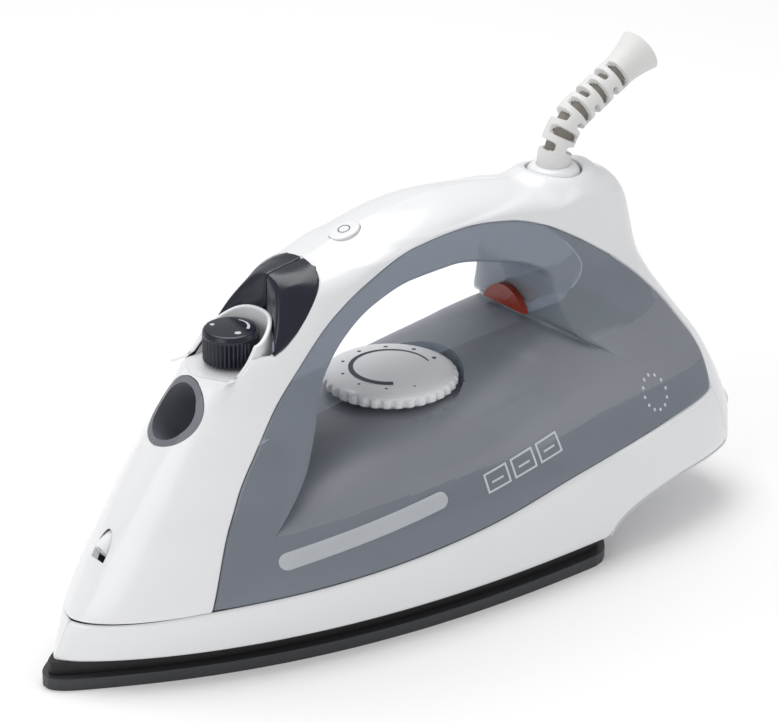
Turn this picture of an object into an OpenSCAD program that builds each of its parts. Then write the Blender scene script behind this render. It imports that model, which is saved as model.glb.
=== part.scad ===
// Steam iron: soleplate, heat shield, skirt, water tank, handle, covers, controls and what they hold.
// Lengths are in millimetres. Stations run from the soleplate's nose tip (0) to the heel,
// and in_frame() moves the origin to the middle of the sole face.

/* [Soleplate] */
// Length of the soleplate, nose tip to heel
sole_l = 206; // [205:0.5:208]
// Greatest half width of the soleplate
sole_hw = 52.2; // [51.6:0.2:52.8]
// Thickness of the soleplate's edge
plate_t = 4.1; // [3.8:0.1:4.2]
// Radius of one steam vent
vent_r = 1.5; // [1.2:0.1:1.8]

/* [Shells] */
// Wall thickness of the moulded covers
wall = 2.2; // [2:0.1:2.4]

/* [Controls] */
// Radius of the temperature dial
dial_r = 23; // [21:0.5:23.5]
// Radius of the steam knob
knob_r = 9.2; // [8.6:0.2:9.6]
// Travel of the spray and burst buttons
button_travel = 3; // [2:0.5:3]
// Travel of the reset button
reset_travel = 1.5; // [1:0.5:1.5]

/* [Hidden] */
$fn = 48;
sole_centre = 110;     // station of the origin
far = 60;              // more than any half width
fit_gap = 0.3;         // running gap between pieces that move past each other
shield_z = 9;          // top of the open black band, foot of the skirt
dial_x = 140.6;        // station of the dial and the thermostat
dial_z = 64.6;         // underside of the dial
dial_t = 5.8;          // dial thickness
well_z = 63.4;         // floor of the dial's well in the deck
knob_x = 75.5;         // station of the steam knob and the valve
knob_z = 90;           // underside of the knob
knob_h = 13.4;         // knob height
pocket_r = 11.6;       // round pocket that the knob stands in
hose_x = 76;           // where the burst hose enters the steam chamber
hose_y = 12;
hose_r = 1.4;          // outer radius of both hoses
gland_r = 3.2;         // outer radius of the stem's gland
pump_x = 96;           // station of the two pumps
pump_y = 6.5;          // each pump's distance from the middle
swivel_x = 212;        // station of the cord swivel
swivel_r = 9.3;        // radius of the swivel's dome
swivel_top = 123.5;    // foot of the bend relief in it
relief_lean = 55;      // degrees that the bend relief leans back
relief_l = 47.2;       // straight length behind its knuckle
knuckle_z = 6.2;       // height of the knuckle above its foot
relief_r = 5.8;        // outer radius
cord_r = 3.7;          // radius of the bore that grips the cord
sleeve_r = 4.4;        // radius of the wider bore between knuckle and mouth
mouth_l = 8.6;         // length of the gripping bore at the mouth
tank_back = 192;       // station of the tank's back wall
tank_top = 74;         // top of the tank in the front column

// ---- Shape of the body: side profile, half width and deck ----

function nose_x(z) = z <= 95
    ? 3.5 + 0.545 * (z - 9.4) + 0.00178 * pow(z - 9.4, 2)
    : lookup(z, [[95, 63.2], [102, 71], [111, 81], [118, 90], [119.5, 102], [121, 111],
                 [123, 117], [125, 124], [127, 134.5], [128.2, 146], [128.8, 154]]);

function rear_x(z) = lookup(z, [
    [20, 268], [30, 268], [40, 266], [50, 263], [59, 260], [66, 256.5], [73, 252.5], [80.5, 248],
    [91, 243], [105, 240.5], [115, 238], [120, 232], [122, 224], [123, 199], [125, 189],
    [127, 178], [128.2, 166], [128.8, 158]]);

function top_z(x) = lookup(x, [
    [40, 66], [63.2, 95], [71, 102], [81, 111], [90, 118], [102, 119.5], [111, 121], [117, 123],
    [124, 125], [134.5, 127], [146, 128.2], [156, 128.8], [166, 128.2], [178, 127], [189, 125],
    [199, 123], [224, 122], [232, 120], [238, 115], [240.5, 105], [248, 80]]);

function flare(z) = lookup(z, [
    [9, 52.2], [24, 52], [36, 50.6], [45, 48], [53, 44], [60, 38.5], [67, 32.5], [74, 28],
    [84, 23.2], [95, 20.4], [105, 19], [120, 18]]);

function nose_l(z) = lookup(z, [
    [4, 186], [9, 180], [24, 165], [45, 150], [58, 115], [70, 80], [82, 58], [93, 42], [105, 35]]);

function nose_q(z) = lookup(z, [[4, 0.85], [9, 0.76], [24, 0.58], [45, 0.56], [60, 0.52], [80, 0.45]]);

function clamp1(v) = min(max(v, 0), 1);
function rise(t, q) = pow(1 - pow(1 - clamp1(t), 2.3), q);

// Half width of the body at a station and a height
function half_w(x, z) =
    flare(z) * rise((x - nose_x(z)) / nose_l(z), nose_q(z))
    * rise((rear_x(z) - x) / 80, 0.145 + 0.1 * clamp1((z - 60) / 50))
    * (z > 90 ? rise((top_z(x) - z) / 8, 0.5) : 1);

// Half width of the soleplate, with a small round at the nose
function sole_w(x) =
    let (a = sole_hw * rise(x / 186, 0.85))
    sqrt(a * a + 8 * x * exp(-x / 8)) * rise((sole_l - x) / 19, 0.4);

function deck_mid(x) = lookup(x, [
    [60, 52], [90, 57.5], [112, 62], [140, 63.8], [150, 66], [167, 70.5], [193, 76.8], [225, 84]]);
function crease_z(x) = lookup(x, [
    [67, 45.2], [87.5, 46.6], [111, 48], [136, 50], [182, 55.3], [204, 58], [221, 59.4], [250, 63]]);
function crease_y(x) = lookup(x, [
    [67, 33.6], [87.5, 39.2], [111, 43], [136, 44.8], [182, 42.2], [204, 39.8], [221, 37.6], [250, 36]]);
function deck_z(x, y) =
    deck_mid(x) - (deck_mid(x) - crease_z(x)) * pow(abs(y) / crease_y(x), 3);

// Part lines in the side view
skirt_line = [[0, 21.5], [12.8, 21.6], [22, 23.2], [44, 24.6], [81, 25.8], [107, 27.2], [141, 30.4],
              [179, 36.3], [221, 41.6], [251, 44.4]];
heel_line = [[195, 9], [198, 12], [202.5, 15], [210, 17.6], [218, 19.4], [234, 21.3], [259.5, 21.6]];
split_line = [[44, 24.6], [50.5, 42], [58.5, 58.5], [66, 68.5], [75, 79.5], [87, 92], [102, 105],
              [117.5, 113.5], [137, 120], [157, 121.4], [177, 118.6], [192, 113.3], [207, 105],
              [225, 93], [238, 82], [248, 70], [253, 56], [251, 44.4]];
gap_line = [[92, 40], [92, 60], [93, 70], [95, 78], [99, 86], [105, 93.5], [113, 100], [124, 104.5],
            [138, 107], [152, 107.5], [168, 106], [182, 102], [190, 95], [193, 86], [193, 40]];
button_line = [[80, 98], [84, 99.5], [93, 106.9], [98, 112.7], [101.6, 116.2], [104.5, 120], [104.5, 130],
               [80, 130]];

function flip(list) = [for (i = [len(list) - 1 : -1 : 0]) list[i]];

// ---- Helpers ----

module in_frame() {
    translate([-sole_centre, 0, 0]) children();
}

// Keeps what it holds as one triangle mesh
module meshed() {
    resize([0, 0, 0]) children();
}

// Rings of equal length, joined one to the next and capped; each ring runs counter-clockwise
// seen from the side that the stack grows towards
module loft(rings) {
    n = len(rings[0]);
    m = len(rings);
    polyhedron(
        points = [for (r = rings) each r],
        faces = [
            [for (i = [0 : n - 1]) i],
            [for (i = [n - 1 : -1 : 0]) (m - 1) * n + i],
            for (k = [0 : m - 2], i = [0 : n - 1])
                [k * n + i, (k + 1) * n + i, (k + 1) * n + (i + 1) % n],
            for (k = [0 : m - 2], i = [0 : n - 1])
                [k * n + i, (k + 1) * n + (i + 1) % n, k * n + (i + 1) % n]
        ],
        convexity = 6
    );
}

// A side-view outline, as thick as the whole iron
module side_cut(points) {
    rotate([90, 0, 0]) linear_extrude(height = 2 * far, center = true) polygon(points);
}

// The whole body without its finger gap, shrunk by t all round
body_levels = [9, 15, 21, 27, 33, 39, 45, 51, 57, 63, 69, 75, 81, 87, 93, 99, 105, 111, 116, 120,
               122.5, 124.5, 126.6, 128, 128.8];
half_ring = 16;
module body(t = 0) {
    loft([
        for (z0 = body_levels)
            let (
                z = z0 - t * clamp1((z0 - 105) / 23.8),
                zs = z + t,
                xn = nose_x(zs) + 0.8 * t,
                xr = rear_x(zs) - t,
                xs = [for (j = [0 : half_ring]) xn + (xr - xn) * (1 - cos(180 * j / half_ring)) / 2],
                ws = [for (x = xs) max(half_w(x, z0) - 1.1 * t, 0)]
            )
            [
                for (j = [0 : half_ring]) [xs[j], j == 0 || j == half_ring ? 0 : -max(ws[j], 0.3), z],
                for (j = [half_ring - 1 : -1 : 1]) [xs[j], max(ws[j], 0.3), z]
            ]
    ]);
}

// Everything below the deck's crowned surface, lowered by t
module under_deck(t = 0) {
    cols = 12;
    loft([
        for (x = [40 : 12 : 256])
            [
                [x, -far, 0], [x, far, 0],
                for (j = [cols : -1 : -cols])
                    let (y = 54 * j / cols) [x, y, max(deck_z(x, y) - t, 1)]
            ]
    ]);
}

// Plan outline of the soleplate pulled in by t, between two stations
module sole_outline(t = 0, from = 0, to = sole_l) {
    steps = 48;
    xs = [for (i = [0 : steps])
        let (u = i / steps) sole_l * (1 - cos(180 * u)) / 2];
    inner = [for (x = xs) if (sole_w(x) > t && x >= from && x <= to) x];
    polygon(concat(
        [for (x = inner) [x, -(sole_w(x) - t)]],
        [for (x = flip(inner)) [x, sole_w(x) - t]]
    ));
}

module tube(r, hole_r, h) {
    difference() {
        cylinder(r = r, h = h);
        translate([0, 0, -1]) cylinder(r = hole_r, h = h + 2);
    }
}

// A screw that points down, its shank l long below the head
module screw(l) {
    cylinder(r = 1.5, h = l);
    translate([0, 0, l]) difference() {
        cylinder(r = 3, h = 2);
        translate([0, 0, 1]) cylinder(r = 1.4, h = 2, $fn = 6);
    }
}

// A wire coil of n turns
module coil(r, wire_r, h, n) {
    steps = 12 * n;
    loft([for (k = [0 : steps]) let (a = 30 * k) [for (j = [0 : 4])
        let (u = r + wire_r * cos(72 * j)) [u * cos(a), u * sin(a), h * k / steps + wire_r * sin(72 * j)]]]);
}

// A plan outline with n shallow flutes round it
module fluted(r, depth, n) {
    polygon([for (i = [0 : 6 * n - 1])
        let (a = 60 * i / n, u = r - depth * pow(sin(180 * i / 6), 2)) [u * cos(a), u * sin(a)]]);
}

// A point on a smooth curve through a list of points; u counts them
function on_path(p, u) =
    let (i = min(floor(u), len(p) - 2), t = u - i, a = p[max(i - 1, 0)], b = p[i], c = p[i + 1],
         d = p[min(i + 2, len(p) - 1)])
    0.5 * (2 * b + (c - a) * t + (2 * a - 5 * b + 4 * c - d) * t * t + (3 * b - a - 3 * c + d) * t * t * t);

// A soft round rod along that curve
module rod_path(points, r) {
    n = 3 * (len(points) - 1);
    loft([for (k = [0 : n])
        let (c = on_path(points, k / 3),
             d = on_path(points, min(k + 1, n) / 3) - on_path(points, max(k - 1, 0) / 3),
             w = d / norm(d), side = cross(w, [0.3, 1, 0.2]), u = side / norm(side), v = cross(w, u))
        [for (j = [0 : 9]) c + r * (cos(36 * j) * u + sin(36 * j) * v)]]);
}

// ---- Base ----

vent_spots = concat(
    [for (s = [-1, 1], i = [0 : 5]) [30 + 9 * i, s * (5 + 3.1 * i)]],
    [for (i = [0 : 3]) [34 + 10 * i, 0]]
);

// Cast plate with a raised block for the element and the steam chamber
module soleplate() {
    color("dimgray") difference() {
        union() {
            linear_extrude(height = plate_t) sole_outline();
            linear_extrude(height = 13) sole_outline(9, 14, 190);
        }
        translate([0, 0, 6.2]) linear_extrude(height = 10) sole_outline(13, 24, 80);
        element_path(3.5, 4.5);
        for (p = vent_spots) translate([p[0], p[1], -1]) cylinder(r = vent_r, h = 10);
        for (p = sole_screw_spots) translate([p[0], p[1], 5]) cylinder(r = 1.5, h = 10);
    }
}

sole_screw_spots = [[18.5, 0], [150, 19], [150, -19], [184, 0]];
leg_y = 27;            // the element's legs, from the middle
arc_x = 112;           // centre of its bend
element_z = 9.6;       // height of its centre line
element_end = 183;     // station of its terminals

// Square channel that the element lies in
module element_path(half, depth) {
    translate([arc_x, 0, element_z - half]) difference() {
        cylinder(r = leg_y + half, h = 2 * half + depth);
        translate([0, 0, -1]) cylinder(r = leg_y - half, h = 2 * half + depth + 2);
        translate([0, -far, -1]) cube([2 * far, 2 * far, 20]);
    }
    for (s = [-1, 1])
        translate([arc_x, s * leg_y - half, element_z - half])
            cube([element_end + 4 - arc_x, 2 * half, 2 * half + depth]);
}

module heating_element() {
    color("silver") {
        translate([arc_x, 0, element_z]) rotate([0, 0, 90])
            rotate_extrude(angle = 180) translate([leg_y, 0]) circle(r = 3.2);
        for (s = [-1, 1]) {
            translate([arc_x, s * leg_y, element_z]) rotate([0, 90, 0])
                cylinder(r = 3.2, h = element_end - arc_x);
            translate([element_end - 2, s * leg_y, element_z]) cylinder(r = 1.4, h = 11.4);
        }
    }
}

module steam_chamber_cover() {
    color("silver") difference() {
        translate([0, 0, 13]) linear_extrude(height = 1.2) sole_outline(10, 24, 84);
        translate([knob_x, 0, 12]) cylinder(r = 5, h = 4);
        translate([hose_x, hose_y, 12]) cylinder(r = 1.6, h = 4);
    }
}

// Rubber bush that the stem closes
module valve_seat() {
    color("darkorange") translate([knob_x, 0, 13]) tube(5, 1.2, 5.8);
}

module heat_shield() {
    color("black") difference() {
        union() {
            translate([0, 0, plate_t]) linear_extrude(height = shield_z - plate_t - 0.1) sole_outline(3.4, 0, 203);
            translate([0, 0, plate_t]) linear_extrude(height = 12.5) sole_outline(6.4, 0, 200);
        }
        translate([0, 0, plate_t - 1]) linear_extrude(height = 12) sole_outline(8.6, 0, 198);
        translate([knob_x, 0, 10]) cylinder(r = 5.4, h = 10);
        translate([hose_x, hose_y, 10]) cylinder(r = 2.2, h = 10);
        translate([dial_x, 0, 10]) cylinder(r = 11, h = 10);
        for (s = [-1, 1]) translate([element_end - 2, s * leg_y, 10]) cylinder(r = 3, h = 10);
        for (p = sole_screw_spots) translate([p[0], p[1], 10]) cylinder(r = 1.6, h = 10);
        shield_trim();
    }
}

// Keeps the shield inside the sloping nose and heel of the skirt
module shield_trim() {
    side_cut([[-5, 9], [8.4, 9], [15.4, 20], [-5, 20]]);
    side_cut([[191.6, 9], [192.4, 20], [230, 20], [230, 8.9], [192, 8.9]]);
}

module skirt() {
    color("whitesmoke") meshed() {
        difference() {
            body();
            body(wall);
            side_cut(concat([[-20, 140]], [[-20, 21.5]], skirt_line, [[251, 140]]));
            side_cut([[251, 44.4], [251, 140], [300, 140], [300, -10], [261, -10], [259.5, 21.6]]);
            side_cut(concat([[-20, shield_z - 5], [-20, shield_z]], heel_line, [[262, 21.6], [262, 4]]));
        }
        intersection() {
            body(0.5);
            side_cut(concat(heel_line, [[259, 23.8], [234, 23.6], [217, 21.7], [208.6, 19.8], [200.6, 16.8],
                                         [196, 13.2], [193, 9]]));
        }
    }
}

// ---- Tank ----

module tank_space(t) {
    intersection() {
        body(t);
        union() {
            intersection() {
                under_deck(t);
                side_cut([[0, 0], [tank_back - t, 0], [tank_back - t, 100], [0, 100]]);
            }
            difference() {
                side_cut([[0, 0], [104 - t, 0], [104 - t, tank_top - t], [0, tank_top - t]]);
                side_cut([for (p = gap_line) [p[0] - t, p[1] + (p[1] > 60 ? t : 0)]]);
            }
        }
        side_cut(concat(
            [for (p = split_line) if (p[1] < 100 && p[0] < 100) [p[0] + 1.2 * t, p[1]]],
            [[200, 100], [200, 39.1]],
            [for (p = flip(skirt_line)) if (p[0] > 44 && p[0] < 200) [p[0], p[1] - (t > 0 ? 3 : 0)]],
            t > 0 ? [[45 + 1.2 * t, 20]] : []
        ));
    }
}

module water_tank() {
    color("slategray", 0.7) difference() {
        union() {
            meshed() difference() {
                tank_space(0);
                difference() {
                    tank_space(wall);
                    translate([dial_x, 0, well_z - wall]) cylinder(r = dial_r + 4.2, h = 40);
                }
                translate([dial_x, 0, well_z]) cylinder(r = dial_r + 2, h = 40);
                fill_hole(10.8, 12.3, 56);
            }
            translate([dial_x, 0, 21]) cylinder(r = 6.5, h = well_z - 21);
        }
        translate([dial_x, 0, 0]) cylinder(r = 4.3, h = 80);
        translate([knob_x, 0, 60]) cylinder(r = gland_r, h = 40);
        translate([hose_x, hose_y, 60]) cylinder(r = 1.6, h = 40);
    }
}

// Tray that closes the tank from below, inside the skirt
module tank_base() {
    color("slategray", 0.7) difference() {
        meshed() intersection() {
            difference() {
                body(wall + 0.3);
                intersection() {
                    body(wall + 2.3);
                    side_cut([[0, 21], [300, 21], [300, 90], [0, 90]]);
                }
            }
            side_cut(concat([[14, 19], [14, 21.6]], [for (p = skirt_line) if (p[0] > 14 && p[0] < 200) p],
                            [[202, 38], [202, 19]]));
        }
        translate([dial_x, 0, 0]) cylinder(r = 6.8, h = 80);
        translate([knob_x, 0, 0]) cylinder(r = 2.6, h = 80);
        translate([hose_x, hose_y, 0]) cylinder(r = 2, h = 40);
        for (s = [-1, 1]) translate([element_end - 2, s * leg_y, 0]) cylinder(r = 3, h = 40);
    }
}

// ---- Handle and covers ----

// Lower half of the handle, the rear post and the dry end behind the tank
module handle_shell() {
    color("slategray", 0.7) meshed() difference() {
        intersection() {
            shell_space(0);
            side_cut(split_region());
        }
        shell_space(wall);
        translate([knob_x, 0, tank_top - 1]) cylinder(r = gland_r + fit_gap, h = 5);
        translate([hose_x, hose_y, tank_top - 1]) cylinder(r = hose_r + fit_gap, h = 5);
    }
}

function split_region() = concat(
    split_line,
    [[251, 44.4]],
    [for (p = flip(skirt_line)) if (p[0] > 44) p]
);

module shell_space(t) {
    difference() {
        body(t);
        side_cut([for (p = gap_line)
            [p[0] + (p[0] > 170 ? t : -t), p[1] + (p[1] > 60 ? t : 0)]]);
        side_cut([[-10, 0], [96 + t, 0], [96 + t, tank_top + t], [-10, tank_top + t]]);
        side_cut([[0, 0], [tank_back + t, 0], [tank_back + t, 60], [0, 60]]);
    }
}

module top_cover() {
    color("white") meshed() difference() {
        union() {
            difference() {
                body();
                body(wall);
                side_cut(split_region());
                side_cut([[-20, -10], [-20, 21.5], [0, 21.5], [12.8, 21.6], [22, 23.2], [44, 24.6],
                          [60, 30], [150, 36], [150, -10]]);
                side_cut([[224, 93.7], [242, 106], [300, 106], [300, -10], [150, -10], [150, 40]]);
                button_hole();
                cap_rim();
                fill_hole(11, 12.5, 40);
                nozzle_hole(3.4);
            }
            intersection() {
                body(0.1);
                translate([knob_x, 0, knob_z - 2.9]) cylinder(r = pocket_r + 1.8, h = 17.5);
            }
        }
        translate([knob_x, 0, knob_z - 0.7]) cylinder(r = pocket_r, h = 40);
        translate([knob_x, 0, knob_z - 8]) cylinder(r = 4.2, h = 40);
        translate([swivel_x, 0, 100]) cylinder(r = swivel_r + fit_gap, h = 40);
        translate(reset_pos) rotate([0, reset_lean, 0])
            cylinder(r = reset_r + fit_gap, h = 12, center = true);
    }
}

reset_pos = [121.5, 0, 124.2];
reset_lean = -17;      // the button follows the slope of the handle
reset_r = 5.4;

module button_hole() {
    side_cut(button_line);
}

// Thins the cover from inside, where the caps slide behind it
module cap_rim() {
    intersection() {
        body(0.75);
        side_cut(concat([for (p = button_line) if (p[1] < 120) [p[0] + 0.4, p[1] - 8]],
                        [[105.2, 108.2], [105.2, 130], [76, 130], [76, 90]]));
    }
}

// Oval hole in the nose, square to its slope
module fill_hole(half_y, half_slope, h) {
    translate([51.7, 0, 81.5]) rotate([0, -51.5, 0]) scale([half_slope, half_y, 1])
        cylinder(r = 1, h = h, center = true, $fn = 40);
}

module nozzle_hole(r) {
    translate([29, 0, 44]) rotate([0, -118, 0]) cylinder(r = r, h = 24, center = true);
}

module rear_cover() {
    color("white") meshed() difference() {
        body();
        difference() {
            body(wall);
            side_cut([[250, 0], [256, 21], [300, 21], [300, 0]]);
        }
        side_cut(concat(
            [[224, 93.7], [242, 106], [300, 106], [300, 200], [-20, 200], [-20, -10], [261, -10],
             [259.8, 21.6], [251, 44.4]],
            [for (p = flip(split_line)) if (p[0] > 224.5 && p[1] > 50) p]
        ));
        side_cut([[200, 0], [300, 0], [300, 18.4], [200, 18.4]]);
        for (s = [-1, 1]) translate([255, s * 29, 31]) rotate([0, 90, 0]) cylinder(r = 4.05, h = 20);
    }
}

// Two pads that the iron stands on when it is set upright
module heel_feet() {
    color("whitesmoke") for (s = [-1, 1]) translate([264.6, s * 29, 31]) rotate([0, 90, 0])
        intersection() {
            cylinder(r = 4, h = 6);
            translate([0, 0, -1.4]) sphere(r = 7);
        }
}

// Oval rim and funnel, from the nose into the tank
module fill_spout() {
    color("dimgray", 0.8) meshed() difference() {
        intersection() {
            fill_hole(10.6, 12.1, 46);
            translate([0.1, 0, 0]) body(-0.1);
            side_cut([[30, 60], [64, 60], [70.3, 73.6], [72.4, 74], [72.4, 110], [30, 110]]);
        }
        fill_hole(8.4, 9.9, 60);
        translate([knob_x, 0, knob_z - 3.4]) cylinder(r = pocket_r + 2.1, h = 40);
        difference() {
            side_cut([[67, 60], [90, 60], [90, 110], [80, 110]]);
            fill_hole(10.6, 12.1, 8);
        }
    }
}

module spray_nozzle() {
    color("white") translate([29, 0, 44]) rotate([0, -118, 0]) translate([0, 0, -6]) difference() {
        cylinder(r = 3, h = 12.5);
        translate([0, 0, 6]) cylinder(r = 1.5, h = 10);
    }
}

module spray_hose() {
    color("gainsboro") rod_path([[35.6, 0, 47.6], [38.5, -3, 50], [44, -9.5, 57.5], [54, -12.4, 66.5],
                                 [66, -13.4, 77.5], [80, -13.4, 83.5], [92, -8, 85.5],
                                 [pump_x, -pump_y, pump_z - 1]], hose_r);
}

module burst_hose() {
    color("gainsboro") rod_path([[pump_x, pump_y, pump_z - 1], [92, 8, 84.5], [84, 11, 80],
                                 [77, hose_y, 78.5], [hose_x, hose_y, 72], [hose_x, hose_y, 45],
                                 [hose_x, hose_y, 14.2]], hose_r);
}

// ---- Controls ----

module steam_knob() {
    color([0.12, 0.14, 0.2]) translate([knob_x, 0, knob_z]) difference() {
        union() {
            linear_extrude(height = knob_h - 2) fluted(knob_r, 0.7, 36);
            translate([0, 0, knob_h - 2]) cylinder(r1 = knob_r - 1, r2 = knob_r - 2.8, h = 2);
            translate([0, 0, -8]) cylinder(r = 3.9, h = 9);
        }
        translate([0, 0, -10]) cylinder(r = 1.66, h = 20.5);
    }
}

module valve_stem() {
    color("silver") translate([knob_x, 0, 0]) {
        translate([0, 0, 20.2]) cylinder(r = 1.6, h = 72);
        translate([0, 0, 18.9]) cylinder(r1 = 0.6, r2 = 1.6, h = 1.3);
    }
}

module stem_gland() {
    color("darkorange") translate([knob_x, 0, tank_top - wall]) tube(gland_r, 1.65, 3.4);
}

// Half of the pair of caps; side is -1 for spray and 1 for burst
module cap(side) {
    color([0.12, 0.14, 0.2]) meshed() difference() {
        intersection() {
            body(1.15);
            side_cut(concat([for (p = button_line) if (p[1] < 119) [p[0], p[1] - 4]],
                            [[104, 114], [104, 130], [80, 130]]));
            cap_half(side, 0.15);
        }
        difference() {
            intersection() {
                body(3.4);
                cap_half(side, 1.8);
                translate([0, -far, 0]) cube([102, 2 * far, 200]);
            }
            translate([pump_x, side * pump_y, cap_boss_z]) cylinder(r = 2.6, h = 20);
        }
        translate([pump_x, side * pump_y, cap_boss_z - 1]) cylinder(r = 1.52, h = 4);
        translate([knob_x, 0, 80]) cylinder(r = pocket_r + 2.4, h = 60);
    }
}

cap_boss_z = 111;      // foot of the boss under each cap
pump_z = 92;           // foot of each pump
pump_h = 10.5;

module cap_half(side, from) {
    translate([60, side > 0 ? from : -far, 80]) cube([60, far - from, 60]);
}

module spray_button() {
    cap(-1);
}

module burst_button() {
    cap(1);
}

module plunger(side) {
    color("gainsboro") translate([pump_x, side * pump_y, 0]) {
        translate([0, 0, pump_z + 1 + button_travel]) cylinder(r = 2.97, h = 5);
        translate([0, 0, pump_z + 4]) cylinder(r = 1.5, h = cap_boss_z + 3 - pump_z - 4);
    }
}

module spray_plunger() {
    plunger(-1);
}

module burst_plunger() {
    plunger(1);
}

module pump(side) {
    color("gainsboro") translate([pump_x, side * pump_y, pump_z]) difference() {
        union() {
            cylinder(r1 = 3.6, r2 = 4.6, h = 1.6);
            translate([0, 0, 1.6]) cylinder(r = 4.6, h = pump_h - 1.6);
        }
        translate([0, 0, 0.8]) cylinder(r = 3.02, h = pump_h);
    }
}

module spray_pump() {
    pump(-1);
}

module burst_pump() {
    pump(1);
}

module key_coil() {
    translate([0, 0, 0.4]) coil(3.4, 0.35, cap_boss_z - pump_z - pump_h - 0.8, 5);
}

module spray_spring() {
    color("silver") translate([pump_x, -pump_y, pump_z + pump_h]) key_coil();
}

module burst_spring() {
    color("silver") translate([pump_x, pump_y, pump_z + pump_h]) key_coil();
}

module reset_button() {
    color("white") translate(reset_pos) rotate([0, reset_lean, 0]) {
        translate([0, 0, -4]) cylinder(r = reset_r, h = 4.6);
        translate([0, 0, -5.6]) cylinder(r = reset_r + 1.2, h = 1.6);
    }
}

module reset_switch() {
    color("black") translate(reset_pos) rotate([0, reset_lean, 0])
        translate([-4, -3, -12.5 - reset_travel]) cube([8, 6, 4.4]);
}

module reset_spring() {
    color("silver") translate(reset_pos) rotate([0, reset_lean, 0]) translate([0, 0, -9.4])
        coil(1.8, 0.3, 3.6, 4);
}

module temperature_dial() {
    color("white") translate([dial_x, 0, dial_z]) difference() {
        union() {
            linear_extrude(height = dial_t - 1.6) fluted(dial_r, 1.4, 20);
            translate([0, 0, dial_t - 1.6]) cylinder(r1 = dial_r - 1.8, r2 = dial_r - 4.2, h = 1.6);
        }
        translate([0, 0, -1]) cylinder(r = 3.02, h = 4.5);
    }
}

module dial_shaft() {
    color("silver") translate([dial_x, 0, 19]) cylinder(r = 3, h = dial_z + 3.5 - 19);
}

module thermostat() {
    color("gray") translate([dial_x, 0, 13]) {
        cylinder(r = 10, h = 3.6);
        translate([0, 0, 3.6]) cylinder(r = 5, h = 2);
    }
}

// ---- Rear: pilot light, cord swivel and electrics ----

module pilot_lens() {
    color("darkred") meshed() intersection() {
        translate([190.6, 0, 70]) rotate([0, 90, 0]) scale([1, 0.78, 1]) cylinder(r = 16, h = 2.2);
        side_cut([[188, 78.6], [193.2, 78.6], [193.2, 90], [188, 90]]);
    }
}

module pilot_lamp() {
    color("orange") translate([198, 0, 82]) rotate([90, 0, 0]) cylinder(r = 2.5, h = 12, center = true);
}

module cord_swivel() {
    color("white") translate([swivel_x, 0, 0]) difference() {
        union() {
            translate([0, 0, 114.2]) cylinder(r = swivel_r + 1.6, h = 2.2);
            translate([0, 0, 116]) cylinder(r = swivel_r, h = 4.6);
            intersection() {
                translate([0, 0, 120.5]) cylinder(r = swivel_r, h = 5);
                translate([0, 0, 114]) sphere(r = 11.3);
            }
        }
        translate([0, 0, 100]) cylinder(r = cord_r, h = 40);
        translate([0, 0, swivel_top]) cylinder(r = relief_r + 0.02, h = 10);
    }
}

// Slotted tube that leans back from a knuckle and flares at its mouth
module bend_relief() {
    color("white") translate([swivel_x, 0, swivel_top]) difference() {
        union() {
            cylinder(r = relief_r, h = knuckle_z);
            translate([0, 0, knuckle_z]) sphere(r = relief_r + 0.15);
            relief_frame() {
                cylinder(r = relief_r, h = relief_l);
                translate([0, 0, relief_l - 9]) cylinder(r1 = relief_r, r2 = 8, h = 9);
            }
        }
        translate([0, 0, -1]) cylinder(r = cord_r, h = knuckle_z + 1);
        translate([0, 0, knuckle_z]) sphere(r = cord_r + 0.1);
        relief_frame() {
            cylinder(r = sleeve_r, h = relief_l - mouth_l);
            translate([0, 0, relief_l - mouth_l - 1]) cylinder(r = cord_r, h = mouth_l + 2);
            for (i = [0 : 4]) translate([0, 0, 9 + 6 * i]) {
                for (s = [1, -9]) translate([s, -9, 0]) cube([8, 18, 2]);
                for (s = [1, -9]) translate([-9, s, 3]) cube([18, 8, 2]);
            }
        }
    }
}

// The straight part of the relief, with Z along it
module relief_frame() {
    translate([0, 0, knuckle_z]) rotate([0, relief_lean, 0]) children();
}

module swivel_retainer() {
    color("gainsboro") translate([swivel_x, 0, 111.5]) difference() {
        cylinder(r = 12.6, h = 2.4);
        translate([0, 0, -1]) cylinder(r = 5, h = 5);
    }
}

module terminal_block() {
    color("ivory") difference() {
        translate([218, -12, 30]) cube([14, 24, 12]);
        for (y = [-8, 0, 8]) translate([225, y, 36]) cylinder(r = 1.8, h = 10);
    }
}

module auto_off_board() {
    color("darkgreen") {
        translate([214, -18, 60]) cube([30, 36, 1.6]);
        translate([219, -12, 61.6]) cube([12, 10, 9]);
        translate([233, 2, 61.6]) cube([7, 12, 6]);
    }
}

module thermal_fuse() {
    color("ivory") translate([160, 0, 14.05]) rotate([0, 90, 0]) cylinder(r = 1, h = 14);
}

module lead_wires() {
    color("firebrick") for (s = [-1, 1])
        rod_path([[element_end - 2, s * leg_y, 22.2], [element_end + 12, s * 20, 26], [216.5, s * 10, 36]], 1);
}

module soleplate_screws() {
    color("silver") for (p = sole_screw_spots) translate([p[0], p[1], 7]) screw(9.6);
}

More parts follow.
